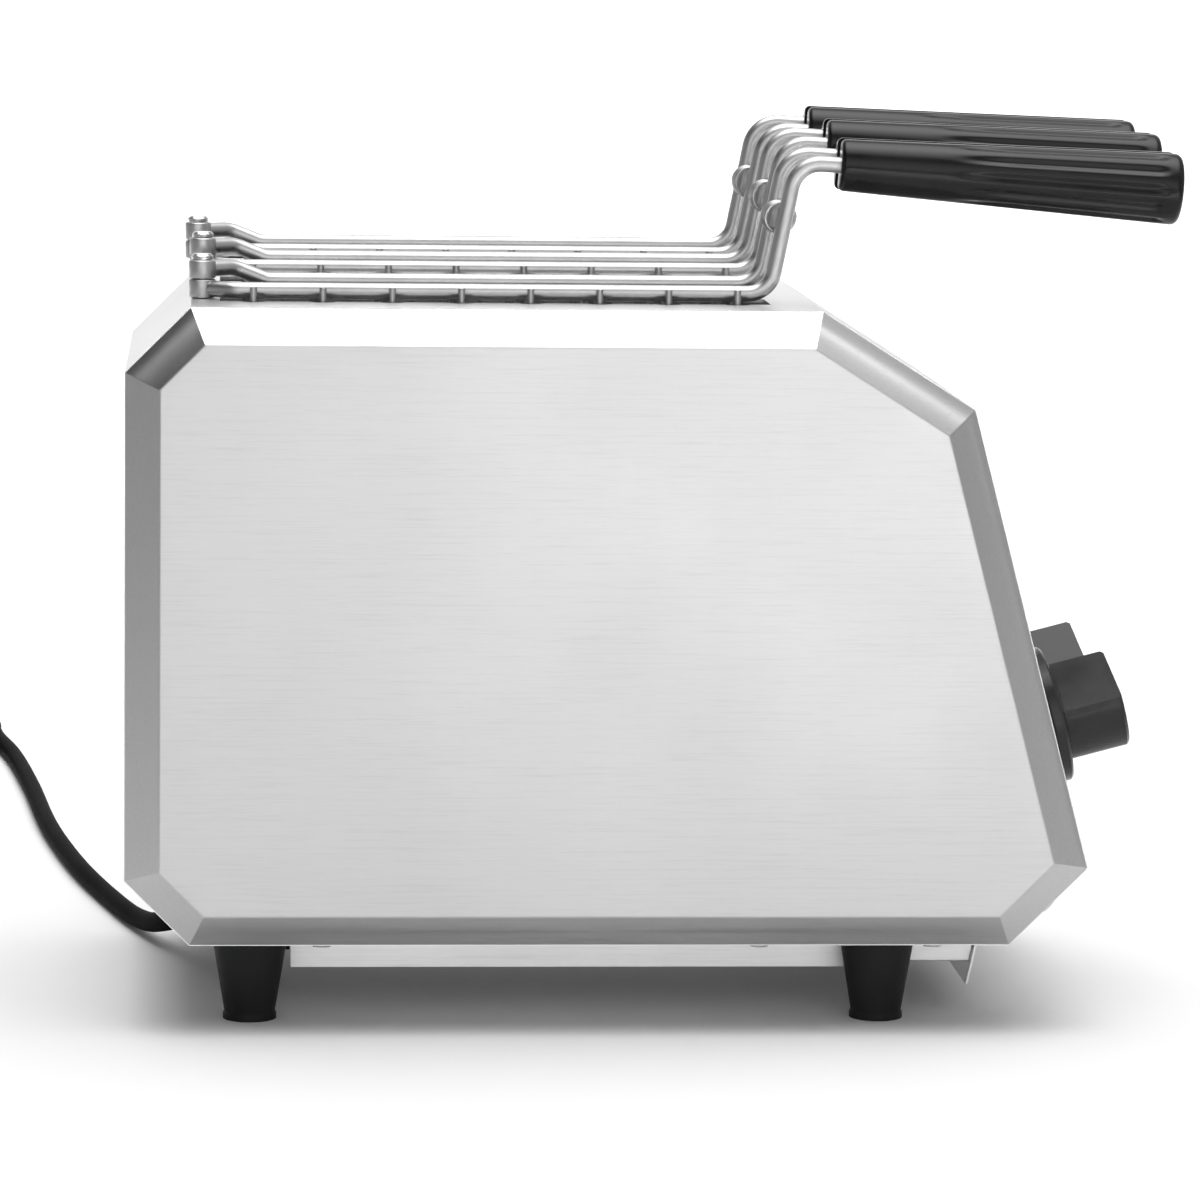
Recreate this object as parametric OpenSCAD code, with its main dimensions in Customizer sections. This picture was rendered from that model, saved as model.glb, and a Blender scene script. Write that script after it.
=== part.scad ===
// Three-slot sandwich toaster with three spring tongs, a crumb tray and two front knobs.
// Frame: +X towards the knobs, +Y away from the near side, +Z up, origin under the middle at table height.

/* [Casing] */
// Length of the casing from the rear wall to the lowest point of the sloped front
body_len = 357.5; // [340:0.5:380]
// Height of the casing from its bottom edge to the top plate
body_h = 236; // [220:1:250]
// Distance between the rims of the two side panels
shell_w = 185; // [180:1:200]
// Width and depth of the bevel round each side panel
bevel = 13; // [8:0.5:16]
// Thickness of the steel sheet
sheet = 1.2; // [0.8:0.1:1.6]
// Size of the two rear chamfers
rear_chamfer = 24; // [16:1:30]
// Size of the lower front chamfer
front_chamfer = 29; // [20:1:32]
// Length of the top plate behind the front brow, measured from the rear wall
top_len = 255; // [251:1:263]
// Distance that the sloped front leans back from its foot to the brow
front_lean = 45.5; // [34:0.5:54]
// Drop from the top plate to the brow
brow_drop = 36; // [28:0.5:44]

/* [Feet] */
// Height of a rubber foot
foot_h = 32; // [26:1:36]
// Diameter of a foot at its top
foot_top_d = 28; // [24:1:30]
// Diameter of a foot at the table
foot_low_d = 20; // [16:1:22]
// Distance of the rear feet from the rear wall
foot_rear_x = 46.5; // [40:0.5:54]
// Distance between the rear and front feet
foot_span = 235.5; // [220:0.5:250]
// Distance between the near and far feet
foot_track = 135; // [128:1:144]

/* [Slots] */
// Distance between two slots
slot_pitch = 50; // [46:1:54]
// Width of a slot between its straight edges
slot_w = 27; // [26:0.5:30]
// Length of a slot
slot_len = 204; // [200:1:208]
// Distance from the rear wall to the middle of the slots
slot_mid_x = 136.5; // [135:0.5:138]
// Diameter of the round notches along a slot
notch_d = 9; // [8:0.5:10]
// Distance between two notches
notch_pitch = 25.6; // [24:0.2:27]

/* [Tongs] */
// Diameter of the tong rods
rod_d = 6; // [5:0.5:6.5]
// Distance between the two rods of a tong
rod_gap = 18; // [17:0.5:20]
// Height of the far rod over the near rod
rod_step = 2.4; // [1.5:0.1:3]
// Distance from the rear wall to the tong hinge
hinge_x = 28; // [27:0.5:29]
// Diameter of the hinge pin
pin_d = 4; // [3:0.5:5]
// Diameter of the hinge eyes
eye_d = 10; // [9:0.5:11]
// Distance from the rear wall to the start of the lower bend
bend_x = 230; // [230:0.5:234]
// Radius of the lower bend
bend_r = 10; // [9:0.5:12]
// Radius of the upper bend
crook_r = 11; // [9:0.5:13]
// Forward tilt of the neck in degrees
neck_tilt = 11; // [6:0.5:14]
// Straight length of the neck
neck_len = 32; // [28:1:36]
// Downward tilt of the handle in degrees
grip_tilt = 3.65; // [2:0.05:6]
// Length of a handle half
grip_len = 128; // [110:1:140]
// Diameter of the closed handle at the neck
grip_d1 = 20; // [20:0.5:24]
// Diameter of the closed handle at its end
grip_d2 = 27.3; // [24:0.1:30]
// Gap between the two handle halves of an open tong
grip_gap = 10; // [8:0.5:11]
// Diameter of the upright cage wires
cage_d = 2.5; // [2:0.1:3]
// Diameter of the level cage wires
cross_d = 2; // [1.6:0.1:2.4]
// Depth of a cage below its rod
cage_drop = 162; // [140:1:170]
// Rise of the middle tong over the near one, on a longer hinge pin
mid_rise = 5; // [0:0.2:8]
// Rise of the far tong over the near one, on a longer hinge pin
far_rise = 7.8; // [0:0.2:8]
// Distance that the far tong sits further back in its slot
far_back = 2; // [0:0.2:2]

/* [Springs] */
// Mean diameter of the spring coil
coil_d = 11; // [10:0.2:12]
// Diameter of the spring wire
coil_wire = 1.5; // [1.2:0.1:1.6]
// Number of turns of the spring
coil_turns = 4; // [3:0.5:4.5]

/* [Knobs] */
// Height of the knob axes over the bottom edge of the casing
knob_h = 78; // [60:1:100]
// Distance between the two knobs
knob_gap = 84; // [70:1:96]
// Diameter of a knob skirt
skirt_d = 52; // [46:1:56]
// Diameter of a knob grip
knob_d = 38; // [34:1:40]
// Width of a knob grip across its two flats
knob_flat = 23; // [18:1:26]
// Length of a knob grip in front of its skirt
knob_len = 24; // [18:1:28]
// Diameter of a control shaft
shaft_d = 6; // [5:0.5:8]
// Angle of the knob pointers from upright in degrees
knob_turn = 62; // [0:1:90]

/* [Crumb tray] */
// Length of the tray housing
pan_len = 258; // [240:1:258]
// Distance from the rear wall to the tray housing
pan_x = 62; // [58:1:62]
// Width of the tray housing
pan_w = 104; // [90:1:104]
// Depth of the tray housing under the casing
pan_h = 16; // [14:0.5:18]

/* [Heaters] */
// Diameter of a quartz tube
tube_d = 11; // [9:0.5:13]
// Height of the lower tubes over the bottom edge of the casing
tube_low = 92; // [80:1:100]
// Height of the upper tubes over the lower ones
tube_rise = 80; // [60:1:90]

/* [Cord] */
// Diameter of the supply cord
cord_d = 8; // [8:0.5:8]
// Radius of the largest turn of the coil
loop_r = 48; // [48:0.5:50]
// Step inwards from one turn of the coil to the next
loop_step = 9; // [8.8:0.1:9.4]

/* [Fits] */
// Gap between pieces that move past each other
move_gap = 0.3; // [0.2:0.05:0.5]
// Radial clearance of a pin or shaft in its bore
run_gap = 0.05; // [0.02:0.01:0.09]

/* [Hidden] */
$fn = 48;
EPS = 0.01;
STEEL = [0.80, 0.80, 0.80];
CHROME = [0.88, 0.88, 0.90];
BLACK = [0.07, 0.07, 0.07];
RUBBER = [0.11, 0.11, 0.11];
CERAMIC = [0.93, 0.91, 0.86];
QUARTZ = [0.93, 0.90, 0.84];

// Heights and lengths that follow from the casing
body_z = foot_h;
top_z = body_z + body_h;
deck_z = top_z - sheet;
rim_y = shell_w / 2;
face_y = rim_y + bevel;
brow_x = body_len - front_lean;
brow_z = top_z - brow_drop;
front_foot_z = body_z + front_chamfer;
lean_angle = atan(front_lean / (brow_z - front_foot_z));

// Handle axis, worked out along one bent rod from the lower bend to the handle
function arc_left(p, h, r, a) = p + r * [sin(h + a) - sin(h), cos(h) - cos(h + a)];
function arc_right(p, h, r, a) = p + r * [sin(h) - sin(h - a), cos(h - a) - cos(h)];
neck_head = 90 - neck_tilt;
crook_turn = neck_head + grip_tilt;
eye_proud = 0.4;
eye_h = rod_d + 2 * eye_proud;
rod_z = top_z + move_gap + eye_h / 2;
neck_start = arc_left([bend_x, rod_z], 0, bend_r, neck_head);
neck_end = neck_start + neck_len * [cos(neck_head), sin(neck_head)];
crook_end = arc_right(neck_end, neck_head, crook_r, crook_turn);
shank_len = 6.6;
shank_seat = 22;
grip_dir = [cos(grip_tilt), -sin(grip_tilt)];
grip_start = crook_end + shank_len * grip_dir;
grip_round = 3;
grip_stop = grip_start + grip_len * grip_dir;
overall_len = grip_stop[0] + (grip_d2 / 2 - grip_round) * sin(grip_tilt);

// Tong planes, measured from the middle of a tong
rod_y = rod_gap / 2;
weld = 0.3;
cage_y = rod_y + rod_d / 2 + cage_d / 2;
cross_y = cage_y - cage_d / 2 - cross_d / 2 + weld;
cage_count = 8;
cage_low_z = rod_z - cage_drop;
cage_x = [for (i = [0:cage_count - 1]) slot_mid_x + (i - (cage_count - 1) / 2) * notch_pitch];
cross_over = 3;
cross_count = 4;
cross_head = 20;
cross_rise = (cage_drop - cross_head) / cross_count;
shelf_reach = 15;
rod_sides = 12;
bend_steps = 5;
turn_r = 8;
eye_bite = 1.5;
eye_far_z = rod_z + eye_h / 2 + move_gap;
eye_top_z = eye_far_z + eye_h;
turn_in_x = hinge_x + 12;
rise_x = turn_in_x + 12;
near_place = [0, -slot_pitch, 0];
mid_place = [0, 0, mid_rise];
far_place = [-far_back, slot_pitch, far_rise];
slot_rows = [near_place[1], mid_place[1], far_place[1]];

// Spring places, in the side view of the near rod
coil_rise = 20;
coil_z = neck_start[1] + coil_rise;
neck_slope = tan(neck_tilt);
near_neck_x = neck_start[0] + coil_rise * neck_slope;
far_neck_x = neck_start[0] - rod_step + (coil_rise - rod_step) * neck_slope;
coil_x = (near_neck_x + far_neck_x) / 2;
coil_reach = rod_y - rod_d / 2 - coil_wire / 2 - run_gap;

// Chamber and controls
wall_clear = 4;
wall_rear_x = slot_mid_x - slot_len / 2 - wall_clear;
wall_front_x = slot_mid_x + slot_len / 2 + wall_clear;
wall_w = shell_w - wall_clear;
guard_y = slot_w / 2 + notch_d / 2 + 2;
guard_d = 2;
guard_low_z = body_z + 40;
guard_top_z = deck_z - 8;
rail_inset = 4;
mirror_y = rim_y - 6;
tube_rows = [-1.5 * slot_pitch, -0.5 * slot_pitch, 0.5 * slot_pitch, 1.5 * slot_pitch];
tube_heights = [body_z + tube_low, body_z + tube_low + tube_rise];
cap_d = tube_d + 5;
cap_len = 14;
cap_flange = 2;
tube_over = 8;
knob_x = body_len - (body_z + knob_h - front_foot_z) * tan(lean_angle);
skirt_gap = 2.5;
skirt_rim = 5;
skirt_rise = 2;
control_w = 44;
control_h = 40;
control_depth = 30;
shaft_sink = 18;
shaft_bite = 8;
lamp_d = 10;
lamp_sink = 14;
hole_reach = 5;

// Crumb tray sizes
pan_low_z = body_z - pan_h;
drop_rim = 6;
mouth_len = 30;
mouth_cut = 0.4 * pan_h;
tray_gap = 0.6;
tray_w = pan_w - 2 * sheet - 2 * tray_gap;
tray_x = pan_x + sheet + tray_gap;
tray_z = pan_low_z + sheet + tray_gap;
tray_h = 9;
lip_tilt = 12;
lip_h = 19;
lip_over = 4;
lip_top_z = tray_z + tray_h + 1;
lip_lean = tan(lip_tilt) * (lip_top_z - pan_low_z - mouth_cut);
lip_x = pan_x + pan_len + lip_lean + sheet / cos(lip_tilt) + move_gap;
tray_len = lip_x - (lip_top_z - tray_z) * tan(lip_tilt) - tray_x;

// Cord outlet on the rear wall of the tray housing
outlet_y = -12;
outlet_z = body_z - 10;
elbow_r = 16;
elbow_turn = 66;
boot_stub = 6;
boot_len = 24;
boot_r1 = 7;
boot_r2 = 5.2;
elbow_end = [pan_x - boot_stub - elbow_r * sin(elbow_turn), outlet_y + elbow_r * (1 - cos(elbow_turn))];
boot_dir = [-cos(elbow_turn), sin(elbow_turn)];
boot_end = elbow_end + boot_len * boot_dir;

// Cord route on the table, from the outlet boot to the coil
cord_lie = 4.2;
exit_len = 8;
coil_mid = [-125, 620];
coil_in = [coil_mid[0] + loop_r, coil_mid[1]];
route = [
    [boot_end[0], boot_end[1], outlet_z],
    [boot_end[0] + exit_len * boot_dir[0], boot_end[1] + exit_len * boot_dir[1], outlet_z],
    [14, 62, 12],
    [5, 95, 6],
    [-6, 139, cord_lie],
    [-24, 223, cord_lie],
    [-40, 326, cord_lie],
    [-52, 437, cord_lie],
    [-63, 525, cord_lie],
    [-73, 580, cord_lie],
    [coil_in[0], coil_in[1] - cord_d, cord_lie],
    [coil_in[0], coil_in[1], cord_lie]
];
cord_sides = 10;
cord_steps = 6;

// Coil of the cord: one and a half turns inwards on the table, half a turn up, then outwards on top
loop_sides = 6;
loop_rings = 24;
loop_low_turns = 1.5;
loop_climb = 0.5;
loop_top_turns = 1.25;
loop_turns = loop_low_turns + loop_climb + loop_top_turns;
layer_rise = cord_d + 0.9;
loop_turn_back = loop_low_turns + loop_climb / 2;
lead_len = 34;
lead_steps = 5;
plug_z = 19;

// Shared shapes

// Puts a shape measured from the rear wall into the part's frame
module place() {
    translate([-overall_len / 2, 0, 0]) children();
}

// Turns a side view in X and Z upright, with its thickness along +Y
module upright(y0, width) {
    translate([0, y0 + width, 0]) rotate([90, 0, 0]) linear_extrude(width) children();
}

// Side view of the casing, counted anticlockwise from the rear end of the bottom edge
function outline() = [
    [rear_chamfer, body_z],
    [body_len - front_chamfer, body_z],
    [body_len, front_foot_z],
    [brow_x, brow_z],
    [top_len, top_z],
    [rear_chamfer, top_z],
    [0, top_z - rear_chamfer],
    [0, body_z + rear_chamfer]
];

function side_normal(p, q) = [q[1] - p[1], p[0] - q[0]] / norm(q - p);
function inset_corner(a, b, c, d) =
    let (m = side_normal(a, b), n = side_normal(b, c)) b - (m + n) * d / (1 + m * n);
function inset(poly, d) =
    let (n = len(poly))
    [for (i = [0:n - 1]) inset_corner(poly[(i + n - 1) % n], poly[i], poly[(i + 1) % n], d)];

// Folded strip of sheet along some corners of the outline
module folded_sheet(corners) {
    outer = outline();
    inner = inset(outer, sheet);
    back = [for (i = [len(corners) - 1:-1:0]) inner[corners[i]]];
    points = concat([for (i = corners) outer[i]], back);
    upright(-rim_y, shell_w) polygon(points);
}

// Moves a shape onto the sloped front, with +Z pointing out of the panel
module on_front(y) {
    translate([knob_x, y, body_z + knob_h]) rotate([0, 90 - lean_angle, 0]) children();
}

// Round bar between two points
module bar(p, q, d) {
    v = q - p;
    length = norm(v);
    translate(p) rotate([0, acos(v[2] / length), atan2(v[1], v[0])]) cylinder(d = d, h = length);
}

// Rings of points round a path that never runs along the direction across, and the tube that they make
function unit(v) = v / norm(v);
function heading(path, i) = unit(path[min(i + 1, len(path) - 1)] - path[max(i - 1, 0)]);
function ring(c, t, r, sides, across) =
    let (u = unit(cross(across, t)), w = cross(t, u))
    [for (k = [0:sides - 1]) c + r * (cos(360 * k / sides) * u + sin(360 * k / sides) * w)];
function tube_faces(n, sides) = concat(
    [[for (k = [0:sides - 1]) k]],
    [for (i = [0:n - 2]) for (k = [0:sides - 1])
        let (next = (k + 1) % sides, here = i * sides, ahead = here + sides)
        each [[here + k, ahead + k, ahead + next], [here + k, ahead + next, here + next]]],
    [[for (k = [sides - 1:-1:0]) (n - 1) * sides + k]]
);
module tube(path, d, sides, across) {
    points = [for (i = [0:len(path) - 1]) each ring(path[i], heading(path, i), d / 2, sides, across)];
    polyhedron(points, tube_faces(len(path), sides), convexity = 8);
}

// Corner points of a path, each corner rounded to its own radius
function fillet(a, b, c, r) =
    let (
        u = unit(a - b), v = unit(c - b), half = acos(u * v) / 2, turn = 180 - 2 * half,
        mid = b + unit(u + v) * r / sin(half),
        from = unit(b + u * r / tan(half) - mid), to = unit(b + v * r / tan(half) - mid)
    )
    [for (k = [0:bend_steps]) let (s = k / bend_steps)
        mid + r * (sin((1 - s) * turn) * from + sin(s * turn) * to) / sin(turn)];
function rounded(pts, radii) = concat(
    [pts[0]],
    [for (i = [1:len(pts) - 2]) each fillet(pts[i - 1], pts[i], pts[i + 1], radii[i - 1])],
    [pts[len(pts) - 1]]
);

// Smooth curve through route points
function curve_at(a, b, c, d, t) =
    0.5 * (2 * b + (c - a) * t + (2 * a - 5 * b + 4 * c - d) * t * t + (3 * b - a - 3 * c + d) * t * t * t);
function smooth(pts, steps) = concat(
    [for (i = [0:len(pts) - 2]) for (k = [0:steps - 1])
        curve_at(pts[max(i - 1, 0)], pts[i], pts[i + 1], pts[min(i + 2, len(pts) - 1)], k / steps)],
    [pts[len(pts) - 1]]
);

// Casing

// One bevelled side panel, an open pan with its mouth towards the other side
module side_pan() {
    face = inset(outline(), bevel);
    rim_inner = inset(outline(), sheet);
    face_inner = inset(outline(), bevel + sheet * 0.4);
    difference() {
        hull() {
            upright(-rim_y - EPS, EPS) polygon(outline());
            upright(-face_y, EPS) polygon(face);
        }
        hull() {
            upright(-rim_y - EPS, 1) polygon(rim_inner);
            upright(-face_y + sheet, EPS) polygon(face_inner);
        }
    }
}

module side_panel_near() {
    color(STEEL) place() side_pan();
}

module side_panel_far() {
    color(STEEL) place() mirror([0, 1, 0]) side_pan();
}

// One slot of the top plate with round notches along both edges
module slot_shape() {
    square([slot_len, slot_w], center = true);
    for (x = cage_x, side = [-1, 1]) translate([x - slot_mid_x, side * slot_w / 2]) circle(d = notch_d);
}

module top_cover() {
    color(STEEL) place() difference() {
        folded_sheet([3, 4, 5, 6]);
        for (y = slot_rows) translate([slot_mid_x, y, deck_z - 1]) linear_extrude(sheet + 2) slot_shape();
    }
}

// Drill through the sheet at the origin
module panel_hole(d) {
    translate([0, 0, -hole_reach]) cylinder(d = d, h = 2 * hole_reach);
}

module front_panel() {
    color(STEEL) place() difference() {
        folded_sheet([1, 2, 3]);
        for (y = [-knob_gap / 2, knob_gap / 2])
            on_front(y) panel_hole(shaft_d + 3);
        on_front(0) panel_hole(lamp_d);
        for (y = screw_rows) front_screw_place(y) panel_hole(screw_d);
    }
}

module rear_panel() {
    color(STEEL) place() folded_sheet([6, 7]);
}

module base_plate() {
    color(STEEL) place() difference() {
        folded_sheet([7, 0, 1]);
        translate([pan_x + drop_rim, -pan_w / 2 + drop_rim, body_z - 1])
            cube([wall_front_x - pan_x - 2 * drop_rim, pan_w - 2 * drop_rim, sheet + 2]);
        for (x = base_screw_x, y = screw_rows)
            translate([x, y, body_z - 1]) cylinder(d = screw_d, h = sheet + 2);
    }
}

// Screws along the bottom edges and the lower front chamfer
screw_d = 4;
screw_head_d = 9;
screw_head_h = 2;
screw_len = 7;
screw_inset = 4;
screw_rows = [-mirror_y + screw_inset, mirror_y - screw_inset];
base_screw_x = [73, 236, 301];

module screw() {
    head_r = screw_head_d / 2;
    top = screw_len + screw_head_h;
    rotate_extrude() polygon([[0, 0], [screw_d / 2, 0], [screw_d / 2, screw_len], [head_r, screw_len],
        [head_r - 1, top], [0, top]]);
}

module base_screws() {
    color(STEEL) place() for (x = base_screw_x, y = screw_rows)
        translate([x, y, body_z]) rotate([180, 0, 0]) translate([0, 0, -screw_len]) screw();
}

module front_screw_place(y) {
    translate([body_len - front_chamfer / 2, y, body_z + front_chamfer / 2]) rotate([0, 135, 0]) children();
}

module front_screws() {
    color(STEEL) place() for (y = screw_rows) front_screw_place(y) translate([0, 0, -screw_len]) screw();
}

// Feet

// Conical rubber foot with a small rim at the table
module foot() {
    rim = 2;
    rotate_extrude()
        polygon([[0, 0], [foot_low_d / 2, 0], [foot_low_d / 2, rim], [foot_low_d / 2 - 0.5, rim + 1],
            [foot_top_d / 2, foot_h - rim], [foot_top_d / 2, foot_h], [0, foot_h]]);
}

module feet() {
    foot_front_x = foot_rear_x + foot_span;
    color(RUBBER) place() for (x = [foot_rear_x, foot_front_x], side = [-1, 1])
        translate([x, side * foot_track / 2, 0]) foot();
}

// Crumb tray

// Housing under the casing, open at the front, with lower walls cut away towards its mouth
module tray_housing() {
    color(STEEL) place() difference() {
        translate([pan_x, -pan_w / 2, pan_low_z]) cube([pan_len, pan_w, pan_h]);
        translate([pan_x + sheet, -pan_w / 2 + sheet, pan_low_z + sheet])
            cube([pan_len, pan_w - 2 * sheet, pan_h]);
        translate([pan_x + pan_len - mouth_len, -pan_w, pan_low_z - 1])
            cube([mouth_len + 1, 2 * pan_w, mouth_cut + 1]);
        translate([pan_x - 1, outlet_y, outlet_z]) rotate([0, 90, 0])
            cylinder(r = boot_r1 - 2, h = sheet + 2);
    }
}

// Drawer with a sloped pull at its front
module crumb_tray() {
    color(STEEL) place() union() {
        difference() {
            translate([tray_x, -tray_w / 2, tray_z]) cube([tray_len, tray_w, tray_h]);
            translate([tray_x + sheet, -tray_w / 2 + sheet, tray_z + sheet])
                cube([tray_len - 2 * sheet, tray_w - 2 * sheet, tray_h]);
        }
        translate([lip_x, -tray_w / 2 - lip_over, lip_top_z]) rotate([0, lip_tilt, 0])
            translate([-sheet, 0, -lip_h]) cube([sheet, tray_w + 2 * lip_over, lip_h]);
    }
}

// Heating chamber

// Wall across the chamber with holes for the tube caps
module bulkhead(x) {
    difference() {
        translate([x, -wall_w / 2, body_z + sheet]) cube([sheet, wall_w, body_h - 2 * sheet]);
        for (y = tube_rows, z = tube_heights)
            translate([x - 1, y, z]) rotate([0, 90, 0]) cylinder(d = tube_d + 2, h = 4);
    }
}

module front_bulkhead() {
    color(STEEL) place() bulkhead(wall_front_x);
}

module rear_bulkhead() {
    color(STEEL) place() bulkhead(wall_rear_x - sheet);
}

// Polished sheet between an outer tube row and a side panel
module reflector(side) {
    color(CHROME) place() translate([wall_rear_x, side * mirror_y - sheet / 2, body_z + sheet])
        cube([wall_front_x - wall_rear_x, sheet, body_h - 2 * sheet]);
}

module reflector_near() reflector(-1);
module reflector_far() reflector(1);

// Wire grid that keeps the bread off the tubes, one on each side of each slot
module guard_grids() {
    rail_z = [guard_low_z, guard_top_z - rail_inset];
    bars = [for (i = [0:cage_count - 2]) (cage_x[i] + cage_x[i + 1]) / 2];
    color(CHROME) place() for (y = slot_rows, side = [-1, 1]) union() {
        for (z = rail_z)
            bar([wall_rear_x, y + side * guard_y, z], [wall_front_x, y + side * guard_y, z], guard_d);
        for (x = bars)
            bar([x, y + side * (guard_y - guard_d + weld), guard_low_z - guard_d],
                [x, y + side * (guard_y - guard_d + weld), guard_top_z], guard_d);
    }
}

// Two quartz tubes, one over the other
module tube_pair(y) {
    color(QUARTZ) place() for (z = tube_heights)
        translate([wall_rear_x - tube_over, y, z]) rotate([0, 90, 0])
            cylinder(d = tube_d, h = wall_front_x - wall_rear_x + 2 * tube_over);
}

module tubes_near() tube_pair(tube_rows[0]);
module tubes_mid_near() tube_pair(tube_rows[1]);
module tubes_mid_far() tube_pair(tube_rows[2]);
module tubes_far() tube_pair(tube_rows[3]);

// Ceramic cap with a flange, pushed over a tube end from outside the chamber
module tube_cap() {
    bore_r = tube_d / 2;
    neck_r = bore_r + 1;
    cap_r = cap_d / 2;
    flange_r = cap_r + 2;
    seat = tube_over - sheet;
    rotate_extrude() polygon([[bore_r, -sheet], [neck_r, -sheet], [neck_r, 0], [flange_r, 0],
        [flange_r, cap_flange], [cap_r, cap_flange], [cap_r, cap_len], [0, cap_len],
        [0, seat], [bore_r, seat]]);
}

module tube_caps_front() {
    color(CERAMIC) place() for (y = tube_rows, z = tube_heights)
        translate([wall_front_x + sheet, y, z]) rotate([0, 90, 0]) tube_cap();
}

module tube_caps_rear() {
    color(CERAMIC) place() for (y = tube_rows, z = tube_heights)
        translate([wall_rear_x - sheet, y, z]) rotate([0, -90, 0]) tube_cap();
}

// Controls

// Control block behind the sloped front, bored for its shaft
module control_body(y) {
    color(BLACK) place() on_front(y) difference() {
        translate([-control_h / 2, -control_w / 2, -sheet - control_depth])
            cube([control_h, control_w, control_depth]);
        translate([0, 0, -sheet - shaft_sink]) cylinder(d = shaft_d + 2 * run_gap, h = control_depth);
    }
}

// Shaft that ends inside its knob
module control_shaft(y) {
    color(CHROME) place() on_front(y) translate([0, 0, -sheet - shaft_sink + move_gap])
        cylinder(d = shaft_d, h = sheet + shaft_sink - move_gap + skirt_gap + skirt_rim + shaft_bite);
}

// Knob with a dished skirt and a grip with two flats
module control_knob(y) {
    skirt_front = skirt_gap + skirt_rim;
    grip_front = skirt_front + knob_len;
    grip_edge = 1.2;
    skirt_r = skirt_d / 2;
    knob_r = knob_d / 2;
    color(BLACK) place() on_front(y) difference() {
        union() {
            rotate_extrude() polygon([[0, skirt_gap], [skirt_r - 1, skirt_gap], [skirt_r, skirt_gap + 1],
                [skirt_r, skirt_front - 0.8], [skirt_r - 0.8, skirt_front],
                [knob_r - 3, skirt_front + skirt_rise], [0, skirt_front + skirt_rise]]);
            rotate(-knob_turn) intersection() {
                rotate_extrude() polygon([[0, skirt_front], [knob_r, skirt_front],
                    [knob_r, grip_front - grip_edge], [knob_r - grip_edge, grip_front], [0, grip_front]]);
                translate([-knob_r, -knob_flat / 2, 0]) cube([knob_d, knob_flat, grip_front]);
            }
        }
        cylinder(d = shaft_d, h = skirt_front + shaft_bite);
    }
}

module timer_body() control_body(-knob_gap / 2);
module timer_shaft() control_shaft(-knob_gap / 2);
module timer_knob() control_knob(-knob_gap / 2);
module switch_body() control_body(knob_gap / 2);
module switch_shaft() control_shaft(knob_gap / 2);
module switch_knob() control_knob(knob_gap / 2);

// Pilot lamp between the knobs, with a collar in front of the panel
module pilot_lamp() {
    lamp_r = lamp_d / 2;
    collar = 1.5;
    color([0.75, 0.10, 0.05]) place() on_front(0) rotate_extrude()
        polygon([[0, -lamp_sink], [lamp_r, -lamp_sink], [lamp_r, 0], [lamp_r + collar, 0],
            [lamp_r + collar, collar], [lamp_r, collar], [lamp_r - 1, 4], [lamp_r - 3, 5.2], [0, 5.6]]);
}

// Wiring block on the base plate behind the front
module terminal_block() {
    block = [18, 46, 16];
    well_d = 6;
    well_pitch = 14;
    block_gap = 24;
    color(CERAMIC) place() translate([wall_front_x + block_gap, 0, body_z + sheet]) difference() {
        translate([0, -block[1] / 2, 0]) cube(block);
        for (i = [-1, 0, 1])
            translate([block[0] / 2, i * well_pitch, block[2] / 2]) cylinder(d = well_d, h = block[2]);
    }
}

// Tongs

// Rise of a raised rod where it meets its handle
function entry_rise(lift) = lift * (1 - tan(grip_tilt));

// Path of one rod from its hinge eye to its seat in the handle, raised by lift and bent that much earlier
function rod_path(side, eye_z, lift) =
    let (
        y = side * rod_y,
        low = rod_z + lift,
        eye = [hinge_x, 0, eye_z],
        turn_in = [turn_in_x, y, eye_z],
        bend = [bend_x - lift + bend_r * tan(neck_head / 2), y, low],
        neck_out = crook_r * tan(crook_turn / 2),
        crook = neck_end + neck_out * [cos(neck_head), sin(neck_head)] + [-lift, lift],
        seat = grip_start + shank_seat * grip_dir + [0, entry_rise(lift)],
        inner = eye + unit(turn_in - eye) * (eye_d / 2 - eye_bite),
        rear = eye_z > low ? [turn_in, [rise_x, y, low]] : [turn_in]
    )
    rounded(
        concat([inner], rear, [bend, [crook[0], y, crook[1]], [seat[0], y, seat[1]]]),
        concat([for (p = rear) turn_r], [bend_r, crook_r])
    );

// Wire cage under a rod: uprights outside the rod, level wires inside them
module cage(side, lift) {
    foot_z = cage_low_z - cage_d;
    top_z = rod_z + lift + rod_d / 4;
    first = cage_x[0] - cross_over;
    last = cage_x[cage_count - 1] + cross_over;
    levels = [for (i = [0:cross_count - 1]) cage_low_z + cross_rise * (i + 0.5)];
    for (x = cage_x) bar([x, side * cage_y, foot_z], [x, side * cage_y, top_z], cage_d);
    for (z = levels) bar([first, side * cross_y, z], [last, side * cross_y, z], cross_d);
}

// Eye of a rod, bored for the hinge pin
module eye(z, clearance) {
    translate([hinge_x, 0, z - eye_h / 2]) difference() {
        cylinder(d = eye_d, h = eye_h);
        translate([0, 0, -1]) cylinder(d = pin_d + 2 * clearance, h = eye_h + 2);
    }
}

// Half of a tong that lies on the deck and carries the hinge pin
module tong_frame(at) {
    color(CHROME) place() translate(at) union() {
        tube(rod_path(-1, rod_z, 0), rod_d, rod_sides, [0, 1, 0]);
        eye(rod_z, 0);
    }
}

// Cage of the lying half, with a shelf of short wires that carries the bread
module tong_cage(at) {
    color(CHROME) place() translate(at) union() {
        cage(-1, 0);
        for (x = cage_x)
            bar([x, -cage_y, cage_low_z], [x, -cage_y + shelf_reach, cage_low_z], cage_d - 0.4);
    }
}

// Half of a tong that swings on the hinge pin
module tong_arm(at) {
    eye_z = eye_far_z + eye_h / 2;
    color(CHROME) place() translate(at) union() {
        tube(rod_path(1, eye_z, rod_step), rod_d, rod_sides, [0, 1, 0]);
        eye(eye_z, run_gap);
    }
}

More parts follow.
